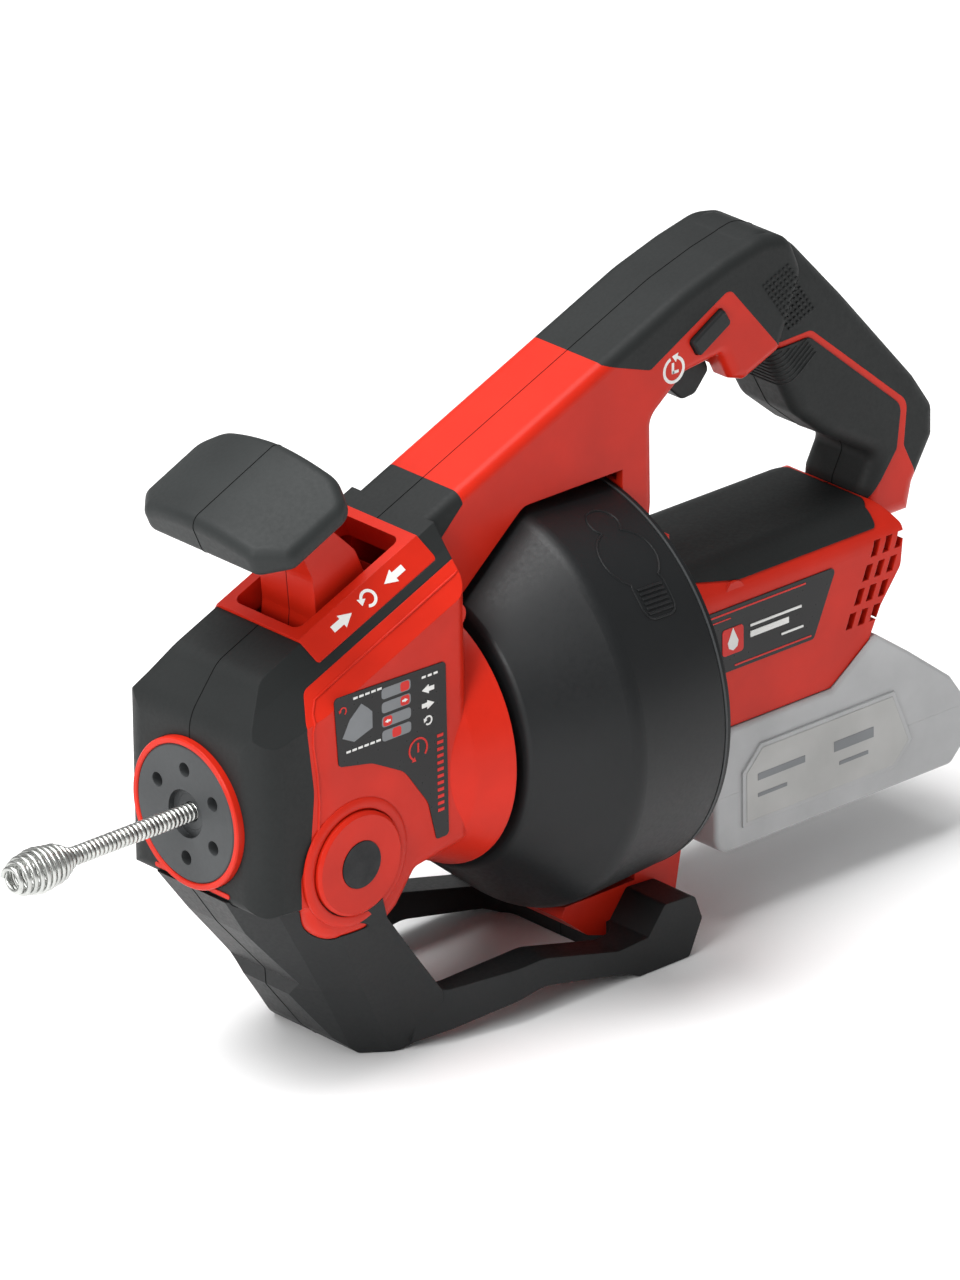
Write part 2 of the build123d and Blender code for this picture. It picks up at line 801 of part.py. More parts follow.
with BuildPart() as auger_bulb:
    corners = [(tip_x, 0), (tip_x, 6.5, 2), (-231, 9.5, 3), (-220, 9.8, 6), (-204, cable_r), (-204, 0)]
    revolve(turned(corners), axis=drum_axis)
auger_bulb.part.label = "auger_bulb"
export_step(auger_bulb.part, "parts/auger_bulb.step")

# ---- planetary gearbox --------------------------------------------------------------------------
pressure = math.radians(20)


def involute(angle):
    return math.tan(angle) - angle


def gear_face(teeth, low, high, slack, plane, turn=0.0):
    """An involute gear outline from radius low to high, each tooth thinner by slack at the pitch line."""
    pitch_r = gear_module * teeth / 2
    base_r = pitch_r * math.cos(pressure)
    half_pitch = math.pi / (2 * teeth) - slack / (2 * pitch_r) + involute(pressure)
    flank = [max(low, base_r) + (high - max(low, base_r)) * step / 3 for step in range(4)]
    rim = [(r, half_pitch - involute(math.acos(min(1.0, base_r / r)))) for r in flank]
    rim = [(low, rim[0][1])] + rim if low < base_r else rim
    points = []
    for tooth in range(teeth):
        middle = turn + 2 * math.pi * tooth / teeth
        side = [(r, middle - a) for r, a in rim] + [(r, middle + a) for r, a in reversed(rim)]
        points += [(r * math.cos(a), r * math.sin(a)) for r, a in side]
    with BuildSketch(plane) as sketch:
        Polygon(*points, align=None)
    return sketch.sketch


def gear_radii(teeth):
    """Root and tip radii of an external gear."""
    return gear_module * (teeth / 2 - 1.25), gear_module * (teeth / 2 + 0.8)


backlash = 0.16
orbit = gear_module * (sun_teeth + planet_teeth) / 2
ring_low = gear_module * (ring_teeth / 2 - 0.8)
ring_high = gear_module * (ring_teeth / 2 + 1.25)
with BuildPart() as ring_gear:
    with BuildSketch(across(gear_x - 0.5)):
        Circle(25.6)
        Circle(ring_low, mode=Mode.SUBTRACT)
    extrude(amount=gear_width + 1)
    teeth_face = gear_face(ring_teeth, ring_low - 0.1, ring_high, -backlash, across(gear_x - 0.5))
    extrude(teeth_face, amount=gear_width + 1, mode=Mode.SUBTRACT)
ring_gear.part.label = "ring_gear"
export_step(ring_gear.part, "parts/ring_gear.step")

with BuildPart() as sun_gear:
    extrude(gear_face(sun_teeth, *gear_radii(sun_teeth), backlash, across(gear_x)), amount=gear_width)
    with BuildSketch(across(gear_x)):
        Circle(2.5)
    extrude(amount=gear_width, mode=Mode.SUBTRACT)
sun_gear.part.label = "sun_gear"
export_step(sun_gear.part, "parts/sun_gear.step")

for number in range(3):
    place = 2 * math.pi * number / 3
    centre = (0, orbit * math.cos(place), axis_z + orbit * math.sin(place))
    planet_plane = Plane(origin=(gear_x, centre[1], centre[2]), x_dir=(0, 1, 0), z_dir=(1, 0, 0))
    turn = place * (planet_teeth + sun_teeth) / planet_teeth
    with BuildPart() as planet:
        face = gear_face(planet_teeth, *gear_radii(planet_teeth), backlash, planet_plane, turn)
        extrude(face, amount=gear_width)
        with BuildSketch(planet_plane):
            Circle(2.5 + run_gap)
        extrude(amount=gear_width, mode=Mode.SUBTRACT)
    planet.part.label = f"planet_gear_{number + 1}"
    export_step(planet.part, f"parts/planet_gear_{number + 1}.step")

with BuildPart() as drum_shaft:
    with BuildSketch(across(54)):
        Circle(6)
    extrude(amount=31.5)
    with BuildSketch(across(85.5)):
        Circle(19)
    extrude(amount=3.5)
    with BuildSketch(across(89)):
        with PolarLocations(orbit, 3):
            Circle(2.5)
    extrude(amount=gear_width + 1)
drum_shaft.part.label = "drum_shaft"
export_step(drum_shaft.part, "parts/drum_shaft.step")

with BuildPart() as gearbox_case:
    with BuildSketch(across(82)):
        Circle(27.4)
        Circle(8, mode=Mode.SUBTRACT)
    extrude(amount=2.5)
    with BuildSketch(across(84.5)):
        Circle(27.4)
        Circle(25.6, mode=Mode.SUBTRACT)
    extrude(amount=16)
gearbox_case.part.label = "gearbox_case"
export_step(gearbox_case.part, "parts/gearbox_case.step")

# ---- motor --------------------------------------------------------------------------------------
with BuildPart() as motor_can:
    with BuildSketch(across(101)):
        Circle(18)
        Circle(2.5 + run_gap, mode=Mode.SUBTRACT)
    extrude(amount=60)
    with BuildSketch(across(103)):
        Circle(16)
    extrude(amount=56, mode=Mode.SUBTRACT)
    with BuildSketch(across(101)):
        Circle(25.5)
        Circle(18, mode=Mode.SUBTRACT)
    extrude(amount=2.5)
motor_can.part.label = "motor_can"
export_step(motor_can.part, "parts/motor_can.step")

with BuildPart() as motor_rotor:
    with BuildSketch(across(gear_x)):
        Circle(2.5)
    extrude(amount=86)
    with BuildSketch(across(110)):
        Circle(14)
    extrude(amount=34)
    with BuildSketch(across(148)):
        Circle(6)
    extrude(amount=8)
motor_rotor.part.label = "motor_rotor"
export_step(motor_rotor.part, "parts/motor_rotor.step")

with BuildPart() as fan:
    with BuildSketch(across(162)):
        Circle(21)
        Circle(2.5, mode=Mode.SUBTRACT)
    extrude(amount=1.6)
    with BuildSketch(across(163.6)):
        Circle(5)
        Circle(2.5, mode=Mode.SUBTRACT)
    extrude(amount=6.4)
    with BuildSketch(across(163.6)):
        with PolarLocations(12.5, 9):
            Rectangle(16, 1.4)
    extrude(amount=6.4)
fan.part.label = "fan"
export_step(fan.part, "parts/fan.step")

with BuildPart() as control_board:
    board = [(10.5, 217), (10.5, 229), (54, 241), (61, 238), (61, 220), (40, 216.5)]
    extrude(outline(board, beside(-1)), amount=-2)
control_board.part.label = "control_board"
export_step(control_board.part, "parts/control_board.step")

# ---- shift lever, paddle and side discs ---------------------------------------------------------
shaft_r = 6.0
stem = [
    (-109, 90, 6),
    (-104, 130),
    (-94, 172),
    (-92.5, 186),
    (-94, 204, 10),
    (-106, 230),
    (-112, 236),
    (-100, 243),
    (-90, 228),
    (-72, 210, 10),
    (-67, 198),
    (-67, 182),
    (-82, 150),
    (-89, 90, 6),
]
with BuildPart() as lever_left:
    extrude(outline(stem, beside(-8.5)), amount=7.5)
    with BuildSketch(beside(-8.5)):
        with Locations(pivot):
            Circle(15)
    extrude(amount=27)
    with BuildPart(mode=Mode.PRIVATE) as stem_top:
        extrude(outline(stem), amount=16)
        with BuildSketch(Plane.XY.offset(80)):
            with Locations((-90, -8)):
                Rectangle(60, 40)
        extrude(amount=96, mode=Mode.SUBTRACT)
    add(stem_top.part)
    with BuildSketch(beside(0)):
        with Locations(pivot):
            Circle(shaft_r)
    extrude(amount=40, mode=Mode.SUBTRACT)
lever_left.part.label = "lever_left"
export_step(lever_left.part, "parts/lever_left.step")
with BuildPart() as lever_right:
    mirror(lever_left.part, about=Plane.XZ)
lever_right.part.label = "lever_right"
export_step(lever_right.part, "parts/lever_right.step")

with BuildPart() as lever_shaft:
    with BuildSketch(beside(-47)):
        with Locations(pivot):
            Circle(shaft_r)
    extrude(amount=-94)
    for side in (-1, 1):
        with BuildSketch(beside(side * 45.5)):
            with Locations(pivot):
                Circle(9.8)
        extrude(amount=-side * 2.3)
lever_shaft.part.label = "lever_shaft"
export_step(lever_shaft.part, "parts/lever_shaft.step")

with BuildPart() as pivot_disc_left:
    with BuildSketch(beside(-36)):
        with Locations(pivot):
            Circle(disc_r)
            Circle(shaft_r, mode=Mode.SUBTRACT)
    extrude(amount=11.5)
    chamfer(pivot_disc_left.faces().sort_by(Axis.Y)[0].edges().group_by(SortBy.RADIUS)[-1], 1.2)
    with BuildSketch(beside(-45.5)):
        with Locations(pivot):
            Circle(9.9)
    extrude(amount=3, mode=Mode.SUBTRACT)
pivot_disc_left.part.label = "pivot_disc_left"
export_step(pivot_disc_left.part, "parts/pivot_disc_left.step")
with BuildPart() as pivot_disc_right:
    mirror(pivot_disc_left.part, about=Plane.XZ)
pivot_disc_right.part.label = "pivot_disc_right"
export_step(pivot_disc_right.part, "parts/pivot_disc_right.step")

paddle_tilt = 24.0
paddle_plane = Plane(
    origin=(-118, 0, 240),
    x_dir=(math.cos(math.radians(paddle_tilt)), 0, math.sin(math.radians(paddle_tilt))),
    z_dir=(-math.sin(math.radians(paddle_tilt)), 0, math.cos(math.radians(paddle_tilt))),
)
paddle_plan = [
    (-23, -31, 7),
    (-13, -43, 6),
    (19, -43, 9),
    (27, -31, 14),
    (28, 0, 120),
    (27, 31, 14),
    (19, 43, 9),
    (-13, 43, 6),
    (-23, 31, 7),
]
crown_r = 100.0
with BuildPart() as paddle:
    extrude(outline(paddle_plan, paddle_plane.offset(-11)), amount=19)
    paddle_end = Plane(
        origin=paddle_plane.origin - paddle_plane.x_dir * 60,
        x_dir=(0, -1, 0),
        z_dir=paddle_plane.x_dir,
    )
    with BuildSketch(paddle_end):
        with Locations((0, crown_r - 8)):
            Circle(crown_r)
    extrude(amount=120, mode=Mode.INTERSECT)
    tilt_up = paddle_plane.z_dir
    rims = [edge for edge in paddle.edges() if abs((edge @ 1 - edge @ 0).normalized().dot(tilt_up)) < 0.5]
    fillet(rims, 5)
    add(lever_left.part, mode=Mode.SUBTRACT)
    add(lever_right.part, mode=Mode.SUBTRACT)
with BuildPart() as paddle_left:
    add(paddle.part)
    split(bisect_by=Plane.XZ, keep=Keep.TOP)
paddle_left.part.label = "paddle_left"
export_step(paddle_left.part, "parts/paddle_left.step")
with BuildPart() as paddle_right:
    mirror(paddle_left.part, about=Plane.XZ)
paddle_right.part.label = "paddle_right"
export_step(paddle_right.part, "parts/paddle_right.step")

# ---- labels -------------------------------------------------------------------------------------
with BuildPart() as function_label:
    corners = [
        (-109, 167, 2),
        (-51, 165.5, 2),
        (-50.5, 91, 2),
        (-57, 91, 1),
        (-61, 108, 10),
        (-73, 125, 14),
        (-90, 134, 14),
        (-107, 137.5, 2),
    ]
    extrude(outline(corners, beside(-nose_half)), amount=0.4)
    add(outer.part, mode=Mode.SUBTRACT)
function_label.part.label = "function_label"
export_step(function_label.part, "parts/function_label.step")

with BuildPart() as motor_labels:
    corners = [(88, 109.5, 1), (88, 137.3, 1), (166, 137.3, 2), (153.5, 109.5, 2)]
    extrude(outline(corners, beside(-motor_half)), amount=0.5)
    extrude(outline(corners, beside(motor_half + 0.5)), amount=0.5)
motor_labels.part.label = "motor_labels"
export_step(motor_labels.part, "parts/motor_labels.step")

# ---- battery pack -------------------------------------------------------------------------------
split_z = 56.0
battery_outline = [
    (98, 31, 8),
    (98, 73, 5),
    (107, 84.5, 2),
    (162.5, 84.5),
    (184, 99.6, 1),
    (188, 101, 2),
    (206, 88, 4),
    (229, 70, 5),
    (236, 60, 5),
    (236, 38, 5),
    (229, 31, 4),
]
with BuildPart() as pack_block:
    extrude(outline(battery_outline), amount=battery_half, both=True)
    fillet(pack_block.edges().filter_by(Axis.Y, reverse=True), 2.0)
    add(motor_block(-0.4), mode=Mode.SUBTRACT)
    head = [(-19.5, 80), (-19.5, 89.1), (-23.9, 89.1), (-23.9, 92.5), (23.9, 92.5), (23.9, 89.1), (19.5, 89.1), (19.5, 80)]
    extrude(
        outline(head, Plane(origin=(107, 0, 0), x_dir=(0, 1, 0), z_dir=(1, 0, 0))),
        amount=64,
    )
latch_shape = [(186, 96), (191, 102.5, 1), (205, 92, 1), (200, 86)]
with BuildPart() as battery_latch:
    extrude(outline(latch_shape), amount=14, both=True)
battery_latch.part.label = "battery_latch"
export_step(battery_latch.part, "parts/battery_latch.step")
with BuildPart() as battery_lower:
    add(pack_block.part)
    with BuildSketch(Plane.XY.offset(split_z)):
        with Locations((167, 0)):
            Rectangle(200, 100)
    extrude(amount=80, mode=Mode.SUBTRACT)
    with BuildSketch(Plane.XY.offset(35)):
        with Locations((167, 0)):
            RectangleRounded(127, 66.6, 4)
    extrude(amount=40, mode=Mode.SUBTRACT)
battery_lower.part.label = "battery_lower"
export_step(battery_lower.part, "parts/battery_lower.step")
with BuildPart() as battery_upper:
    add(pack_block.part)
    with BuildSketch(Plane.XY.offset(split_z)):
        with Locations((167, 0)):
            Rectangle(200, 100)
    extrude(amount=-80, mode=Mode.SUBTRACT)
    with BuildSketch(Plane.XY.offset(split_z)):
        with Locations((160, 0)):
            RectangleRounded(113, 66.6, 4)
    extrude(amount=18.6, mode=Mode.SUBTRACT)
    with BuildPart(mode=Mode.PRIVATE) as latch_space:
        shape = [(183.5, 94), (190.6, 104), (208, 92.5), (201, 83)]
        extrude(outline(shape), amount=14.5, both=True)
    add(latch_space.part, mode=Mode.SUBTRACT)
battery_upper.part.label = "battery_upper"
export_step(battery_upper.part, "parts/battery_upper.step")

with BuildPart() as battery_cells:
    for layer in range(2):
        for column in range(5):
            with BuildSketch(beside(-32.6)):
                with Locations((115 + 19 * column, 44.5 + 18.9 * layer)):
                    Circle(9.2)
            extrude(amount=-65.2)
battery_cells.part.label = "battery_cells"
export_step(battery_cells.part, "parts/battery_cells.step")

# ---- screws -------------------------------------------------------------------------------------
with BuildPart() as housing_screws:
    for x, z, half in screw_places:
        with BuildSketch(beside(half - 6)):
            with Locations((x, z)):
                Circle(2.0)
        extrude(amount=half + 4)
        with BuildSketch(beside(half - 6)):
            with Locations((x, z)):
                Circle(3.8)
                RegularPolygon(1.6, 6, mode=Mode.SUBTRACT)
        extrude(amount=-2.8)
        with BuildSketch(beside(half - 6)):
            with Locations((x, z)):
                Circle(3.8)
        extrude(amount=-0.8)
housing_screws.part.label = "housing_screws"
export_step(housing_screws.part, "parts/housing_screws.step")
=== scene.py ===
import json
import math

import bmesh
import bpy
from mathutils import Matrix, Vector
from mathutils.bvhtree import BVHTree


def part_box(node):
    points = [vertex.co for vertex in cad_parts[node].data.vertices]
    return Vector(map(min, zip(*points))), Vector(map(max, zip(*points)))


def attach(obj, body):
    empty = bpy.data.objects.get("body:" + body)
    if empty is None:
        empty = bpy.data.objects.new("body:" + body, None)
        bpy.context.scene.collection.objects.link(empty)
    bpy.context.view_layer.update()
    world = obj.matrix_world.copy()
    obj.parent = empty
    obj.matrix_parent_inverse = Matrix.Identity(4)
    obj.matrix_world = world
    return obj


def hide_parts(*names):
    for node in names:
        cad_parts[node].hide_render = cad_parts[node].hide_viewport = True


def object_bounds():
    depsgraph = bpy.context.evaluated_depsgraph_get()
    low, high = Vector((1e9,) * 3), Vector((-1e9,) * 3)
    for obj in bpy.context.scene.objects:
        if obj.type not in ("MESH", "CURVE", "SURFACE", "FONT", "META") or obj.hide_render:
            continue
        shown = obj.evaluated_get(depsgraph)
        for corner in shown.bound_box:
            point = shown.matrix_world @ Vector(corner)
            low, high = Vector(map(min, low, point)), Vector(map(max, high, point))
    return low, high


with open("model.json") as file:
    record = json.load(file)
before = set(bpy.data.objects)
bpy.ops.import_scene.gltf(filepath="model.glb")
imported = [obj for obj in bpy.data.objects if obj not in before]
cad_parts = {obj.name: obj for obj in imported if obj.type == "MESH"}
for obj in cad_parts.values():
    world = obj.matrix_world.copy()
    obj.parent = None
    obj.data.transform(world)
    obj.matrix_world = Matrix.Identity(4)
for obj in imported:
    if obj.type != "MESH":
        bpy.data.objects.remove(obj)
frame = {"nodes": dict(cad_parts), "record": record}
cad_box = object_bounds()
nodes = frame["nodes"]
scene = bpy.context.scene

MM = 0.001
AXIS_Z = 116.0  # the drum's axis above the ground
LEFT, RIGHT = -1, 1
SLOPE = math.radians(22.5)  # the arm's and the gate's slope
PIVOT = (-99.0, 94.5)  # the shift lever's axis, as (x, z)
NOSE_FRONT_X = -145.0
LABEL_Y, MOTOR_LABEL_Y, ARM_Y, BATTERY_Y = 44.4, 36.5, 22.0, 38.0  # distances of flat sides from the middle


# ---- materials ----------------------------------------------------------------------------------
def new_material(name):
    """An empty node material with its shader, output and millimetre coordinates."""
    material = bpy.data.materials.new(name)
    material.use_nodes = True
    tree = material.node_tree
    tree.nodes.clear()
    output = tree.nodes.new("ShaderNodeOutputMaterial")
    shader = tree.nodes.new("ShaderNodeBsdfPrincipled")
    tree.links.new(shader.outputs[0], output.inputs[0])
    coords = tree.nodes.new("ShaderNodeTexCoord")
    scale = tree.nodes.new("ShaderNodeVectorMath")
    scale.operation = "SCALE"
    scale.inputs["Scale"].default_value = 1.0 / MM
    tree.links.new(coords.outputs["Object"], scale.inputs[0])
    return material, tree, shader, scale.outputs[0]


def noise(tree, where, per_mm, detail=3.0):
    node = tree.nodes.new("ShaderNodeTexNoise")
    node.inputs["Scale"].default_value = per_mm
    node.inputs["Detail"].default_value = detail
    tree.links.new(where, node.inputs["Vector"])
    return node.outputs["Fac"]


def remap(tree, value, low, high, to_low, to_high):
    node = tree.nodes.new("ShaderNodeMapRange")
    for socket, number in zip(node.inputs[1:5], (low, high, to_low, to_high)):
        socket.default_value = number
    tree.links.new(value, node.inputs[0])
    return node.outputs[0]


def math_node(tree, operation, first, second):
    node = tree.nodes.new("ShaderNodeMath")
    node.operation = operation
    node.use_clamp = True
    for socket, value in zip(node.inputs, (first, second)):
        if isinstance(value, float):
            socket.default_value = value
        else:
            tree.links.new(value, socket)
    return node.outputs[0]


def mix_colour(tree, amount, first, second):
    node = tree.nodes.new("ShaderNodeMix")
    node.data_type = "RGBA"
    tree.links.new(amount, node.inputs[0])
    for socket, value in ((node.inputs[6], first), (node.inputs[7], second)):
        if isinstance(value, tuple):
            socket.default_value = (*value, 1.0)
        else:
            tree.links.new(value, socket)
    return node.outputs[2]


def shade(colour, factor):
    return tuple(min(1.0, c * factor) for c in colour)


FLAT, ROUNDED = 0.97, 0.80  # how far the softened normal agrees with the face, off and on an edge
WEAR_PER_MM, CLOUDS_PER_MM, STREAKS_PER_MM, STAINS_PER_MM = 0.22, 0.035, 0.6, 0.12


def moulded(name, colour, rough, grain=0.45, depth=0.02, edge=0.45, wear=0.25, specular=0.25):
    """Moulded plastic or rubber: cloudy colour, spark-eroded grain, rounded and faintly rubbed edges."""
    material, tree, shader, where = new_material(name)
    bevel = tree.nodes.new("ShaderNodeBevel")
    bevel.samples = 4
    bevel.inputs["Radius"].default_value = edge * MM
    geometry = tree.nodes.new("ShaderNodeNewGeometry")
    facing = tree.nodes.new("ShaderNodeVectorMath")
    facing.operation = "DOT_PRODUCT"
    tree.links.new(bevel.outputs[0], facing.inputs[0])
    tree.links.new(geometry.outputs["Normal"], facing.inputs[1])
    edges = remap(tree, facing.outputs["Value"], FLAT, ROUNDED, 0.0, 1.0)
    patches = remap(tree, noise(tree, where, WEAR_PER_MM, 4.0), 0.42, 0.62, 0.15, 1.0)
    rubbed = math_node(tree, "MULTIPLY", math_node(tree, "MULTIPLY", edges, patches), wear)
    clouds = remap(tree, noise(tree, where, CLOUDS_PER_MM, 5.0), 0.3, 0.7, 0.0, 1.0)
    body = mix_colour(tree, clouds, shade(colour, 0.9), shade(colour, 1.1))
    light = tuple(min(1.0, c * 1.25 + 0.05) for c in colour)
    tree.links.new(mix_colour(tree, rubbed, body, light), shader.inputs["Base Color"])
    streaks = noise(tree, where, STREAKS_PER_MM, 5.0)
    tree.links.new(remap(tree, streaks, 0.3, 0.7, rough - 0.05, rough + 0.05), shader.inputs["Roughness"])
    bump = tree.nodes.new("ShaderNodeBump")
    bump.inputs["Strength"].default_value = 0.6
    bump.inputs["Distance"].default_value = depth * MM
    tree.links.new(noise(tree, where, 1.0 / grain, 2.0), bump.inputs["Height"])
    tree.links.new(bevel.outputs[0], bump.inputs["Normal"])
    tree.links.new(bump.outputs[0], shader.inputs["Normal"])
    shader.inputs["Specular IOR Level"].default_value = specular
    return material


def metal(name, colour, rough, stretch=(1.0, 1.0, 1.0), per_mm=1.2, depth=0.01):
    """Machined or drawn steel with fine marks, stretched along one axis."""
    material, tree, shader, where = new_material(name)
    mapping = tree.nodes.new("ShaderNodeMapping")
    mapping.inputs["Scale"].default_value = stretch
    tree.links.new(where, mapping.inputs[0])
    marks = noise(tree, mapping.outputs[0], per_mm, 6.0)
    stains = remap(tree, noise(tree, where, STAINS_PER_MM, 4.0), 0.35, 0.65, 0.0, 1.0)
    shine = mix_colour(tree, stains, shade(colour, 0.82), shade(colour, 1.08))
    tree.links.new(shine, shader.inputs["Base Color"])
    tree.links.new(remap(tree, marks, 0.3, 0.7, rough - 0.07, rough + 0.08), shader.inputs["Roughness"])
    shader.inputs["Metallic"].default_value = 1.0
    bump = tree.nodes.new("ShaderNodeBump")
    bump.inputs["Strength"].default_value = 0.4
    bump.inputs["Distance"].default_value = depth * MM
    tree.links.new(marks, bump.inputs["Height"])
    tree.links.new(bump.outputs[0], shader.inputs["Normal"])
    return material


RED = (0.55, 0.018, 0.006)
BLACK = (0.012, 0.013, 0.0135)
red_shell = moulded("red_shell", RED, 0.36, grain=0.3, depth=0.008, wear=0.3, specular=0.2)
overmould = moulded("overmould", (0.013, 0.0145, 0.0145), 0.6, grain=0.35, depth=0.03, edge=0.6)
black_plastic = moulded("black_plastic", BLACK, 0.5, grain=0.5, depth=0.03)
drum_plastic = moulded("drum_plastic", (0.009, 0.0098, 0.0105), 0.4, grain=0.4, depth=0.02, edge=0.6)
paddle_plastic = moulded("paddle_plastic", (0.02, 0.0225, 0.0225), 0.55, grain=0.35, depth=0.03, edge=0.8)
nose_grey = moulded("nose_grey", (0.052, 0.055, 0.057), 0.5, grain=0.35, depth=0.02)
light_plastic = moulded("light_plastic", (0.42, 0.42, 0.41), 0.4)
battery_plastic = moulded("battery_plastic", (0.42, 0.425, 0.43), 0.45, grain=0.5, depth=0.02)
label_film = moulded("label_film", (0.012, 0.012, 0.0125), 0.32, grain=0.6, depth=0.001, edge=0.15, wear=0.1)
ink_white = moulded("ink_white", (0.78, 0.78, 0.76), 0.45, depth=0.003, edge=0.05, wear=0.1)
ink_grey = moulded("ink_grey", (0.2, 0.21, 0.22), 0.45, depth=0.003, edge=0.05, wear=0.1)
ink_red = moulded("ink_red", (0.62, 0.02, 0.015), 0.4, depth=0.003, edge=0.05, wear=0.1)
seam_dark = moulded("seam_dark", (0.004, 0.004, 0.004), 0.8, depth=0.003, edge=0.05, wear=0.0, specular=0.1)
seam_red = moulded("seam_red", (0.12, 0.004, 0.003), 0.7, depth=0.003, edge=0.05, wear=0.0, specular=0.2)
zinc = metal("zinc", (0.55, 0.56, 0.54), 0.3, per_mm=0.9)
steel = metal("steel", (0.56, 0.57, 0.58), 0.32, stretch=(0.2, 1.0, 1.0))
dark_steel = metal("dark_steel", (0.035, 0.036, 0.037), 0.48)
cast_metal = metal("cast_metal", (0.55, 0.55, 0.55), 0.5, per_mm=0.5, depth=0.04)
board_green = moulded("board_green", (0.012, 0.09, 0.03), 0.35, grain=0.6, depth=0.02)

FINISHES = {
    "red_shell": red_shell,
    "overmould": overmould,
    "black_plastic": black_plastic,
    "drum_plastic": drum_plastic,
    "paddle_plastic": paddle_plastic,
    "nose_grey": nose_grey,
    "light_plastic": light_plastic,
    "battery_plastic": battery_plastic,
    "label_film": label_film,
    "zinc_cable": zinc,
    "steel": steel,
    "dark_steel": dark_steel,
    "gearcase": cast_metal,
    "board": board_green,
}


def dress(node, material):
    """Give a CAD node its material and smooth its rounded faces."""
    mesh = nodes[node].data
    mesh.materials.clear()
    mesh.materials.append(material)
    mesh.polygons.foreach_set("use_smooth", [True] * len(mesh.polygons))
    mesh.set_sharp_from_angle(angle=math.radians(28))


for entry in frame["record"]["subparts"]:
    dress(entry["node"], FINISHES[entry["material_slot"]])
dress("drum_seal", nose_grey)  # the seal's thin edge reads as a grey line round the rim


# ---- mesh helpers -------------------------------------------------------------------------------
def point(x, y, z):
    return Vector((x, y, z)) * MM


def to_object(name, mesh_maker, material, body, smooth=35):
    """A mesh object from a function that fills a bmesh; it rides on a body."""
    grid = bmesh.new()
    mesh_maker(grid)
    bmesh.ops.recalc_face_normals(grid, faces=grid.faces)
    mesh = bpy.data.meshes.new(name)
    grid.to_mesh(mesh)
    grid.free()
    mesh.materials.append(material)
    mesh.polygons.foreach_set("use_smooth", [True] * len(mesh.polygons))
    mesh.set_sharp_from_angle(angle=math.radians(smooth))
    thing = bpy.data.objects.new(name, mesh)
    scene.collection.objects.link(thing)
    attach(thing, body)
    return thing


class Sheet:
    """A flat place for markings: an origin, two directions along it, and its outward normal."""

    def __init__(self, origin, across, up, flip=False):
        self.origin, self.across, self.up = Vector(origin), Vector(across), Vector(up)
        self.out = self.across.cross(self.up) * (-1 if flip else 1)

    def place(self, u, v, height=0.0):
        return (self.origin + self.across * u + self.up * v + self.out * height) * MM


def side_sheet(y, side):
    """The side plane at |Y| = y, where u is x and v is z."""
    return Sheet((0, side * y, 0), (1, 0, 0), (0, 0, 1), flip=side > 0)


def add_prism(grid, sheet, loop, low, high):
    """A closed plate over a loop of (u, v) points."""
    under = [grid.verts.new(sheet.place(u, v, low)) for u, v in loop]
    over = [grid.verts.new(sheet.place(u, v, high)) for u, v in loop]
    grid.faces.new(under[::-1])
    grid.faces.new(over)
    for i in range(len(loop)):
        j = (i + 1) % len(loop)
        grid.faces.new([under[i], under[j], over[j], over[i]])


def print_shapes(name, sheet, loops, material, body="frame", low=-0.1, high=0.12):
    def fill(grid):
        for loop in loops:
            add_prism(grid, sheet, loop, low, high)

    return to_object(name, fill, material, body)


def add_tube(grid, path, radius, sides=8, closed=False):
    """A tube of one radius, or of one radius for each point, along a path in metres."""
    radii = radius if isinstance(radius, list) else [radius] * len(path)
    count = len(path)
    rings = []
    normal = None
    for i, here in enumerate(path):
        before = path[i - 1] if i or closed else path[0]
        after = path[(i + 1) % count] if i < count - 1 or closed else path[-1]
        tangent = (after - before).normalized()
        if normal is None:
            normal = tangent.orthogonal().normalized()
        normal = (normal - tangent * normal.dot(tangent)).normalized()
        other = tangent.cross(normal)
        ring = []
        for k in range(sides):
            turn = 2 * math.pi * k / sides
            ring.append(grid.verts.new(here + (normal * math.cos(turn) + other * math.sin(turn)) * radii[i]))
        rings.append(ring)
    for i in range(count if closed else count - 1):
        a, b = rings[i], rings[(i + 1) % count]
        for k in range(sides):
            m = (k + 1) % sides
            grid.faces.new([a[k], a[m], b[m], b[k]])
    if not closed:
        grid.faces.new(rings[0][::-1])
        grid.faces.new(rings[-1])


def arrow(u, v, length, width, degrees):
    """An arrow's outline, centred at (u, v) and pointing at an angle."""
    half, head, thin = length / 2, width * 0.95, width * 0.24
    shape = [(-half, -thin), (half - head, -thin), (half - head, -width / 2), (half, 0)]
    shape += [(half - head, width / 2), (half - head, thin), (-half, thin)]
    turn = math.radians(degrees)
    return [
        (u + a * math.cos(turn) - b * math.sin(turn), v + a * math.sin(turn) + b * math.cos(turn))
        for a, b in shape
    ]


def arc_band(u, v, inner, outer, start, end, steps=20):
    """A band between two radii from one angle to another."""
    turns = [math.radians(start + (end - start) * k / steps) for k in range(steps + 1)]
    loop = [(u + outer * math.cos(t), v + outer * math.sin(t)) for t in turns]
    return loop + [(u + inner * math.cos(t), v + inner * math.sin(t)) for t in reversed(turns)]


def turn_arrow(u, v, radius, thick, start, end):
    """A round arrow: a band with an arrow head on its far end."""
    tip = math.radians(end)
    centre = (u + radius * math.cos(tip), v + radius * math.sin(tip))
    along = (-math.sin(tip), math.cos(tip))
    out = (math.cos(tip), math.sin(tip))
    wide, long = thick * 1.5, thick * 2.2
    head = [
        (centre[0] + out[0] * wide, centre[1] + out[1] * wide),
        (centre[0] - out[0] * wide, centre[1] - out[1] * wide),
        (centre[0] + along[0] * long, centre[1] + along[1] * long),
    ]
    return [arc_band(u, v, radius - thick / 2, radius + thick / 2, start, end), head]


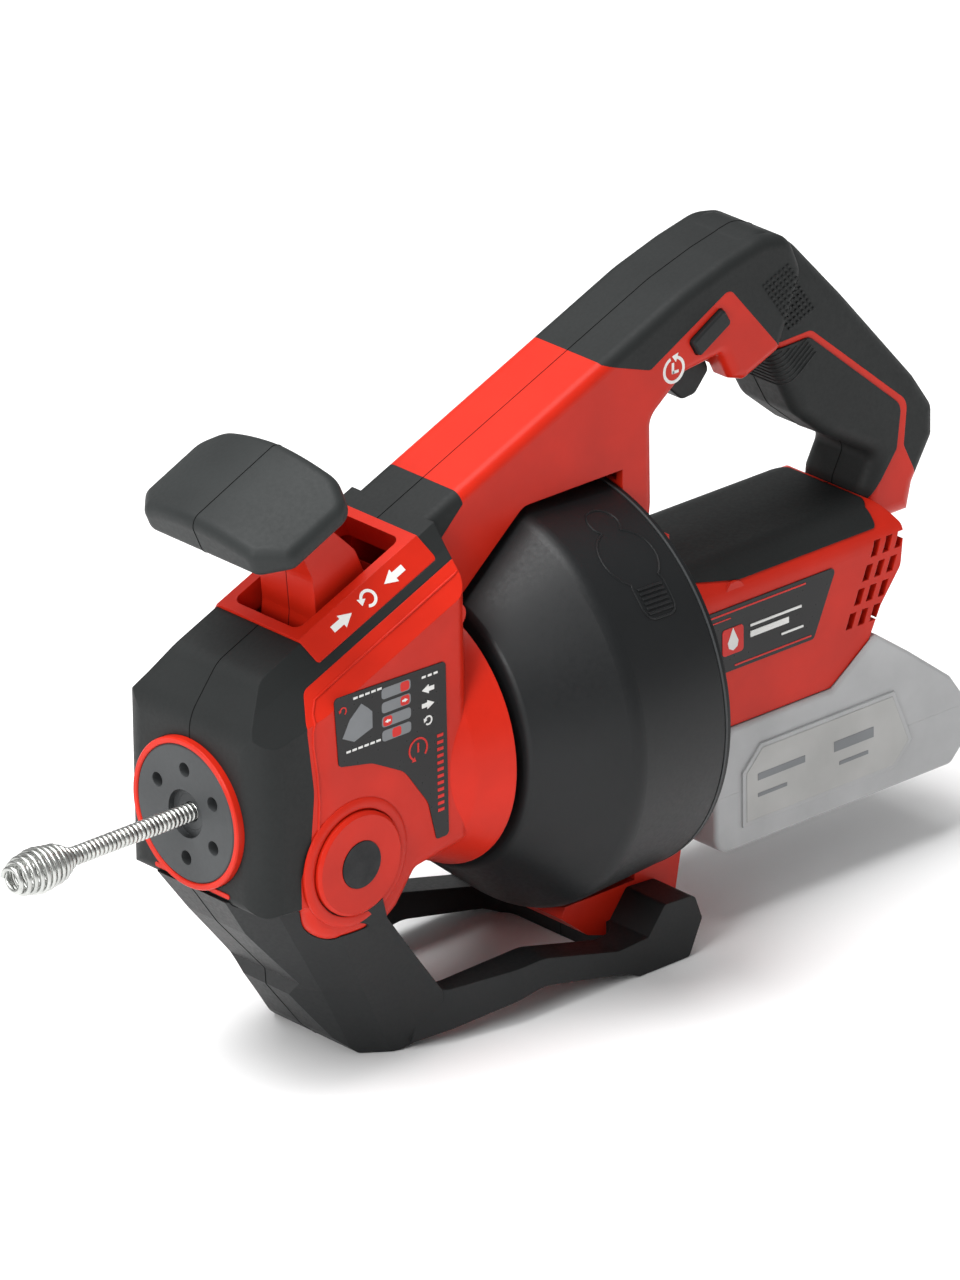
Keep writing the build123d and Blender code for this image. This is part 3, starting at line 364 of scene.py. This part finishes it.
def box_loop(u, v, width, height):
    return [
        (u - width / 2, v - height / 2),
        (u + width / 2, v - height / 2),
        (u + width / 2, v + height / 2),
        (u - width / 2, v + height / 2),
    ]


def round_box(u, v, width, height, radius, steps=5):
    """A rectangle with round corners."""
    loop = []
    for k, (a, b) in enumerate(((1, 1), (-1, 1), (-1, -1), (1, -1))):
        centre = (u + a * (width / 2 - radius), v + b * (height / 2 - radius))
        for step in range(steps + 1):
            t = math.radians(90 * k + 90 * step / steps)
            loop.append((centre[0] + radius * math.cos(t), centre[1] + radius * math.sin(t)))
    return loop


def surface_of(names):
    """One search tree over several CAD nodes."""
    corners, faces = [], []
    for name in names:
        mesh = nodes[name].data
        start = len(corners)
        corners += [v.co.copy() for v in mesh.vertices]
        faces += [tuple(start + i for i in p.vertices) for p in mesh.polygons]
    return BVHTree.FromPolygons(corners, faces)


def seam(name, node, material, body, radius=0.2):
    """The dark parting line where a half meets its mirror half on the middle plane."""
    mesh = nodes[node].data
    source = bmesh.new()
    source.from_mesh(mesh)
    bmesh.ops.remove_doubles(source, verts=source.verts, dist=0.01 * MM)
    near = 0.02 * MM
    kept = []
    for edge in source.edges:
        if any(abs(v.co.y) > near for v in edge.verts) or len(edge.link_faces) != 2:
            continue
        flat = [abs(f.normal.y) > 0.999 and abs(f.calc_center_median().y) < near for f in edge.link_faces]
        if flat[0] != flat[1]:
            kept.append((edge.verts[0].co.copy(), edge.verts[1].co.copy()))
    source.free()

    def fill(grid):
        for a, b in kept:
            if (a - b).length > near:
                add_tube(grid, [a, b], radius * MM, sides=6)

    return to_object(name, fill, material, body)


# ---- parting lines ------------------------------------------------------------------------------
for part, ink, body in (
    ("nose_cover", seam_dark, "frame"),
    ("handle_cover", seam_dark, "frame"),
    ("grip_pad", seam_dark, "frame"),
    ("housing", seam_red, "frame"),
    ("stand", seam_dark, "frame"),
    ("paddle", seam_dark, "lever"),
    ("lever", seam_red, "lever"),
):
    seam(f"{part}_seam", f"{part}_left", ink, body)


# ---- drain cable: a close-wound spring that opens into a bulb -----------------------------------
WIRE = 1.05  # the spring wire's radius
CABLE_R = 4.0
TIP_X = cad_box[0][0] / MM
NECK_X = TIP_X + 33  # where the bulb narrows to the cable
CABLE_PITCH, BULB_PITCH = 2.15, 2.75


def spring_path(start, end, pitch, radius_at, per_turn=20):
    """Points of a helix about the drum's axis from start to end."""
    turns = abs(end - start) / pitch
    count = int(turns * per_turn)
    path = []
    for k in range(count + 1):
        x = start + (end - start) * k / count
        turn = 2 * math.pi * turns * k / count
        r = radius_at(x)
        path.append(point(x, r * math.cos(turn), AXIS_Z + r * math.sin(turn)))
    return path


def bulb_radius(x):
    """The winding's radius along the tip: it swells to the bulb and closes a little at the end."""
    stops = [(TIP_X + WIRE, 4.6), (TIP_X + 7, 7.2), (TIP_X + 14, 8.4), (TIP_X + 22, 7.4)]
    stops += [(NECK_X, CABLE_R - WIRE)]
    for (x0, r0), (x1, r1) in zip(stops, stops[1:]):
        if x <= x1:
            t = max(0.0, (x - x0) / (x1 - x0))
            t = t * t * (3 - 2 * t)
            return r0 + (r1 - r0) * t
    return CABLE_R - WIRE


cable_end_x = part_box("auger_cable")[1].x / MM


def wind_cable(grid):
    path = spring_path(NECK_X, cable_end_x, CABLE_PITCH, lambda x: CABLE_R - WIRE, 16)
    add_tube(grid, path, WIRE * MM, 7)


def wind_bulb(grid):
    path = spring_path(TIP_X + WIRE, NECK_X, BULB_PITCH, bulb_radius, 28)
    add_tube(grid, path, WIRE * MM, 10)


cable = to_object("cable_spring", wind_cable, zinc, "auger", 60)
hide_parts("auger_cable")
bulb = to_object("cable_bulb", wind_bulb, zinc, "auger", 60)
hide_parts("auger_bulb")


# ---- markings on the red gate frame -------------------------------------------------------------
def gate_sheet(side):
    """The sloped outer facet of the gate frame."""
    along = Vector((math.cos(SLOPE), 0, math.sin(SLOPE)))
    normal = Vector((-math.sin(SLOPE), 0, math.cos(SLOPE)))
    top = Vector((0, side * 24, 0)) + normal * 0.8
    foot = Vector((0, side * 31.6, 0)) - normal * 8.2
    up = (top - foot).normalized()
    middle = Vector((-45, 0, 211.3)) + (top + foot) / 2
    return Sheet(middle, along, up, flip=side > 0)


for side, name in ((LEFT, "left"), (RIGHT, "right")):
    marks = [arrow(-49.8, 0, 10.8, 5.9, 0), arrow(-20.6, 0, 10.8, 5.9, 180)]
    marks += turn_arrow(-35.0, 0, 3.1, 1.25, -130, 150)
    print_shapes(f"gate_marks_{name}", gate_sheet(side), marks, ink_white)

# ---- function label: pictures of the lever and switch positions, no words -----------------------
label = side_sheet(LABEL_Y, LEFT)
tool_shape = [(-105, 149), (-101, 156), (-95, 161), (-91.5, 158)]
tool_shape += [(-89.5, 156), (-89.5, 149), (-93, 148), (-99, 146)]
print_shapes("label_tool", label, [tool_shape], ink_grey)
rows = [round_box(-77.0, 161.5 - 6.0 * k, 15, 4.6, 1.4) for k in range(4)]
print_shapes("label_rows", label, rows, ink_grey, high=0.1)
red_marks = [round_box(-72.5, 161.5, 4.6, 4.0, 1.2), round_box(-72.5, 155.5, 4.6, 4.0, 1.2)]
red_marks += [round_box(-81.6, 149.5, 4.6, 4.0, 1.2), round_box(-77.0, 143.5, 4.6, 4.0, 1.2)]
red_marks += turn_arrow(-66.0, 132.5, 4.6, 0.8, -40, 235) + [box_loop(-66.0, 133.2, 0.8, 4.0)]
red_marks += turn_arrow(-104.5, 160.5, 1.6, 0.5, -60, 160)
print_shapes("label_red", label, red_marks, ink_red, high=0.16)
white_marks = [arrow(-60.5, 156.5, 6.4, 3.8, 180), arrow(-60.5, 150.0, 6.4, 3.8, 0)]
white_marks += turn_arrow(-60.5, 143.2, 1.7, 0.7, -130, 150)
white_marks += [arrow(-72.5, 155.5, 3.0, 1.8, 0), arrow(-81.6, 149.5, 3.0, 1.8, 180)]
white_marks += [box_loop(-98.0 + 3.1 * k, 164.3, 2.2, 0.9) for k in range(5)]
white_marks += [box_loop(-102.0 + 3.1 * k, 142.6, 2.2, 0.9) for k in range(6)]
white_marks += [box_loop(-62.6 + 3.1 * k, 162.2, 2.0, 0.9) for k in range(3)]
print_shapes("label_white", label, white_marks, ink_white, high=0.18)
side_lines = [box_loop(-54.5, 103.0 + 2.9 * k, 3.2, 1.3) for k in range(12)]
print_shapes("label_side_lines", label, side_lines, ink_red, high=0.12)

# ---- motor label and the round arrow beside the switch ------------------------------------------
BADGE_X = 109.0
ICON_AT = (91.5, 240.2)
for side, name in ((LEFT, "left"), (RIGHT, "right")):
    sheet = side_sheet(MOTOR_LABEL_Y, side)
    badge = round_box(BADGE_X, 122.5, 11.5, 11.5, 1.6)
    print_shapes(f"motor_badge_{name}", sheet, [badge], ink_red, high=0.25)
    drop = [(BADGE_X, 128.2), (BADGE_X - 2.9, 122.0), (BADGE_X - 2.3, 119.6)]
    drop += [(BADGE_X, 118.3), (BADGE_X + 2.3, 119.6), (BADGE_X + 2.9, 122.0)]
    bars = [box_loop(132.5, 126.2, 28, 1.0), box_loop(129.0, 122.4, 21, 2.6), box_loop(141.5, 117.2, 12, 0.9)]
    print_shapes(f"motor_print_{name}", sheet, [drop] + bars, ink_white, high=0.35)
    trims = [box_loop(120.0, 135.2, 58, 0.7), box_loop(131.0, 111.4, 42, 0.7), box_loop(99.0, 132.6, 18, 0.5)]
    print_shapes(f"motor_trim_{name}", sheet, trims, ink_red, high=0.15)
    icon = turn_arrow(*ICON_AT, 5.2, 1.3, -250, 70)
    icon += [box_loop(91.0, 240.9, 1.2, 4.6), box_loop(92.4, 239.1, 3.2, 1.2)]
    print_shapes(f"turn_icon_{name}", side_sheet(ARM_Y, side), icon, ink_white)

# ---- raised rings and lips on the nose ----------------------------------------------------------


def add_lathe(grid, centre, axis, profile, steps=96):
    """A closed ring: profile is (distance along the axis, radius), turned about the axis."""
    side = axis.orthogonal().normalized()
    other = axis.cross(side)
    rings = []
    for k in range(steps):
        turn = 2 * math.pi * k / steps
        out = side * math.cos(turn) + other * math.sin(turn)
        rings.append([grid.verts.new((centre + axis * a + out * r) * MM) for a, r in profile])
    for k in range(steps):
        a, b = rings[k], rings[(k + 1) % steps]
        for i in range(len(profile)):
            j = (i + 1) % len(profile)
            grid.faces.new([a[i], a[j], b[j], b[i]])


for side, name in ((LEFT, "left"), (RIGHT, "right")):
    flange = [(43.5, 22.2), (45.0, 22.2), (45.3, 22.8), (45.1, 25.2), (44.3, 26.6), (43.5, 26.8)]
    to_object(
        f"pivot_flange_{name}",
        lambda grid: add_lathe(grid, Vector((PIVOT[0], 0, PIVOT[1])), Vector((0, side, 0)), flange),
        red_shell,
        "frame",
    )

lip = Sheet((NOSE_FRONT_X, 0, 86.5), (0, 1, 0), (0, 0, 1), flip=True)
lip_shape = round_box(0, 0, 44, 2.0, 0.9)
print_shapes("nose_lip", lip, [lip_shape], red_shell, low=-1.0, high=0.4)

# ---- handle: dotted pads and fine ribs ----------------------------------------------------------
outer_skin = surface_of(["handle_cover_left", "handle_cover_right"])
pad_skin = surface_of(["grip_pad_left", "grip_pad_right"])


def dotted_pad(grid, side):
    """Small raised squares in slanted rows on the side of the handle."""
    corner, along, down = Vector((140.5, 262.0)), Vector((13.0, 5.0)), Vector((16.5, -24.0))
    rows_down, columns = 12, 7
    for row in range(rows_down):
        for column in range(columns):
            spot = corner + along * (column / (columns - 1)) + down * (row / (rows_down - 1))
            hit = outer_skin.ray_cast(point(spot.x, side * 60, spot.y), Vector((0, -side, 0)))
            if hit[0] is None:
                continue
            across = Vector((along.x, 0, along.y)).normalized()
            up = Vector((-down.x, 0, -down.y)).normalized()
            tile = Sheet(hit[0] / MM, across, up, flip=side > 0)
            add_prism(grid, tile, box_loop(0, 0, 1.15, 1.15), -0.3, 0.5)


for side, name in ((LEFT, "left"), (RIGHT, "right")):
    to_object(f"dotted_pad_{name}", lambda grid: dotted_pad(grid, side), overmould, "frame")


def grip_ribs(grid):
    """Ribs that wrap round the front of the grip pad."""
    start, end, count = Vector((163.0, 217.0)), Vector((153.0, 231.0)), 9
    axis = Vector((end.x - start.x, 0, end.y - start.y)).normalized()
    front = Vector((-axis.z, 0, axis.x))
    for k in range(count):
        centre = start + (end - start) * (k / (count - 1))
        middle = point(centre.x + 6, 0, centre.y + 6)
        path = []
        for step in range(-12, 13):
            turn = math.radians(step * 8)
            way = front * math.cos(turn) + Vector((0, 1, 0)) * math.sin(turn)
            hit = pad_skin.ray_cast(middle + way * 0.06, -way)
            if hit[0] is not None:
                path.append(hit[0])
        if len(path) > 5:
            add_tube(grid, path, 0.45 * MM, 6)


to_object("grip_ribs", grip_ribs, overmould, "frame")


# ---- drum plug: ribs on the finger tab ----------------------------------------------------------
PLUG_X, PLUG_ANGLE = 39.0, math.radians(53)
PLUG_OUT = Vector((0, -math.cos(PLUG_ANGLE), math.sin(PLUG_ANGLE)))
PLUG_UP = Vector((0, math.sin(PLUG_ANGLE), math.cos(PLUG_ANGLE)))
plug_skin = surface_of(["drum_plug"])


def plug_ribs(grid):
    """Six ribs along X on the plug's finger tab."""
    base = Vector((PLUG_X, 0, AXIS_Z))
    for k in range(6):
        path = []
        for step in range(9):
            start = base + PLUG_UP * (-14.5 - 2.0 * k) + Vector((-5.5 + 13 * step / 8, 0, 0)) + PLUG_OUT * 120
            hit = plug_skin.ray_cast(start * MM, -PLUG_OUT)
            if hit[0] is not None:
                path.append(hit[0])
        if len(path) > 3:
            add_tube(grid, path, 0.7 * MM, 6)


def plug_rim(grid):
    """A raised bead along the outer edge of the plug."""
    source = bmesh.new()
    source.from_mesh(nodes["drum_plug"].data)
    bmesh.ops.remove_doubles(source, verts=source.verts, dist=0.01 * MM)
    for edge in source.edges:
        facing = sorted(face.normal.dot(PLUG_OUT) for face in edge.link_faces)
        if len(facing) == 2 and facing[1] > 0.7 and facing[0] < 0.35:
            add_tube(grid, [vert.co.copy() for vert in edge.verts], 0.5 * MM, sides=6)
    source.free()


to_object("plug_ribs", plug_ribs, drum_plastic, "plug")
to_object("plug_rim", plug_rim, drum_plastic, "plug")


# ---- raised bead along the red edge beside the nose cover ---------------------------------------
housing_skin = surface_of(["housing_left", "housing_right"])


OUTSIDE = 70.0  # a distance from the middle that clears the housing
BEAD_R = 0.55


def bead_on_side(grid, route, side, radius):
    """A bead that follows the housing's side above a route of (x, z) points."""
    path = []
    for (x0, z0), (x1, z1) in zip(route, route[1:]):
        steps = max(2, int(math.dist((x0, z0), (x1, z1)) / 1.5))
        for k in range(steps):
            t = k / steps
            start = point(x0 + (x1 - x0) * t, side * OUTSIDE, z0 + (z1 - z0) * t)
            hit = housing_skin.ray_cast(start, Vector((0, -side, 0)))
            if hit[0] is not None:
                path.append(hit[0])
    add_tube(grid, path, radius * MM, 8)


EDGE_ROUTE = [(-122.5, 99), (-119.6, 106), (-117.2, 114), (-116.6, 126), (-117.4, 138), (-119, 150)]
EDGE_ROUTE += [(-118.9, 156), (-117.0, 162), (-113.5, 166.4), (-100, 172.2), (-70, 184.6), (-36, 198.8)]
for side, name in ((LEFT, "left"), (RIGHT, "right")):
    to_object(
        f"nose_bead_{name}",
        lambda grid: bead_on_side(grid, EDGE_ROUTE, side, BEAD_R),
        red_shell,
        "frame",
    )

# ---- battery: a raised panel with bars on each side ----------------------------------------------
BATTERY_PANEL = [(112, 40), (196, 40), (206, 50), (196, 74), (122, 74), (112, 64)]
BATTERY_FIELD = [(114, 41.8), (195.2, 41.8), (203.6, 50.4), (194.8, 72.2), (122.8, 72.2), (114, 63.2)]
BATTERY_BARS = [(133, 60, 26, 3), (128, 52, 16, 1.6), (173, 60, 22, 4.5), (173, 52, 16, 1.6)]
for side, name in ((LEFT, "left"), (RIGHT, "right")):
    for layer, loops, material, slot, low, high in (
        ("panel", [BATTERY_PANEL], battery_plastic, "battery_plastic", -0.5, 0.9),
        ("field", [BATTERY_FIELD], light_plastic, "light_plastic", -0.5, 1.1),
        ("print", [box_loop(*bar) for bar in BATTERY_BARS], ink_grey, "label_film", 0.9, 1.25),
    ):
        sheet = side_sheet(BATTERY_Y, side)
        print_shapes(f"battery_{layer}_{name}", sheet, loops, material, "battery", low, high)

# ---- floor, light and camera --------------------------------------------------------------------
FLOOR_SIZE, FLOOR_DROP = 60.0, 0.0004  # metres; the floor lies just under the feet
SKY_STRENGTH, SUN_STRENGTH, SUN_SPREAD = 0.36, 2.35, 35.0
floor_material, floor_tree, floor_shader, floor_where = new_material("floor")
floor_clouds = noise(floor_tree, floor_where, 0.002)
floor_tone = mix_colour(floor_tree, floor_clouds, (0.93, 0.93, 0.93), (0.96, 0.96, 0.96))
floor_tree.links.new(floor_tone, floor_shader.inputs["Base Color"])
floor_shader.inputs["Roughness"].default_value = 0.9
floor_shader.inputs["Specular IOR Level"].default_value = 0.1
bpy.ops.mesh.primitive_plane_add(size=FLOOR_SIZE, location=(0, 0, -FLOOR_DROP))
floor = bpy.context.object
floor.name = "floor"
floor.data.materials.append(floor_material)

world = bpy.data.worlds.new("studio")
world.use_nodes = True
world.node_tree.nodes["Background"].inputs[0].default_value = (1.0, 1.0, 1.0, 1.0)
world.node_tree.nodes["Background"].inputs[1].default_value = SKY_STRENGTH
scene.world = world


def aim(thing, target):
    thing.rotation_euler = (Vector(target) - thing.location).to_track_quat("-Z", "Y").to_euler()


def area_light(name, place, target, size, power):
    data = bpy.data.lights.new(name, "AREA")
    data.shape = "DISK"
    data.size = size
    data.energy = power
    lamp = bpy.data.objects.new(name, data)
    lamp.location = place
    scene.collection.objects.link(lamp)
    aim(lamp, target)


sun_data = bpy.data.lights.new("sky_sun", "SUN")
sun_data.energy = SUN_STRENGTH
sun_data.angle = math.radians(SUN_SPREAD)
sun = bpy.data.objects.new("sky_sun", sun_data)
sun.location = (-1.2, 0.3, 3.0)
scene.collection.objects.link(sun)
aim(sun, (0, 0, 0))
area_light("softbox_front", (-1.9, -0.5, 1.1), (-0.05, 0, 0.13), 0.9, 22)
area_light("softbox_top", (-0.1, 0.4, 1.8), (0, 0, 0.2), 1.6, 18)

scene.view_settings.view_transform = "Standard"
camera_data = bpy.data.cameras.new("camera")
camera_data.sensor_width = 36.0
camera_data.lens = 366.4
camera_data.clip_end = 100.0
camera = bpy.data.objects.new("camera", camera_data)
scene.collection.objects.link(camera)
AZIMUTH, ELEVATION, ROLL, DISTANCE = math.radians(-41.73), math.radians(23.98), math.radians(-0.783), 5.19
AIM_POINT = Vector((0.0336, 0.0302, 0.1244))
toward = Vector(
    (
        math.sin(AZIMUTH) * math.cos(ELEVATION),
        -math.cos(AZIMUTH) * math.cos(ELEVATION),
        math.sin(ELEVATION),
    )
)
level = Vector((math.cos(AZIMUTH), math.sin(AZIMUTH), 0))
upright = toward.cross(level)
right = level * math.cos(ROLL) + upright * math.sin(ROLL)
up = toward.cross(right)
turn = Matrix((right, up, toward)).transposed().to_4x4()
camera.matrix_world = Matrix.Translation(AIM_POINT + toward * DISTANCE) @ turn
scene.camera = camera
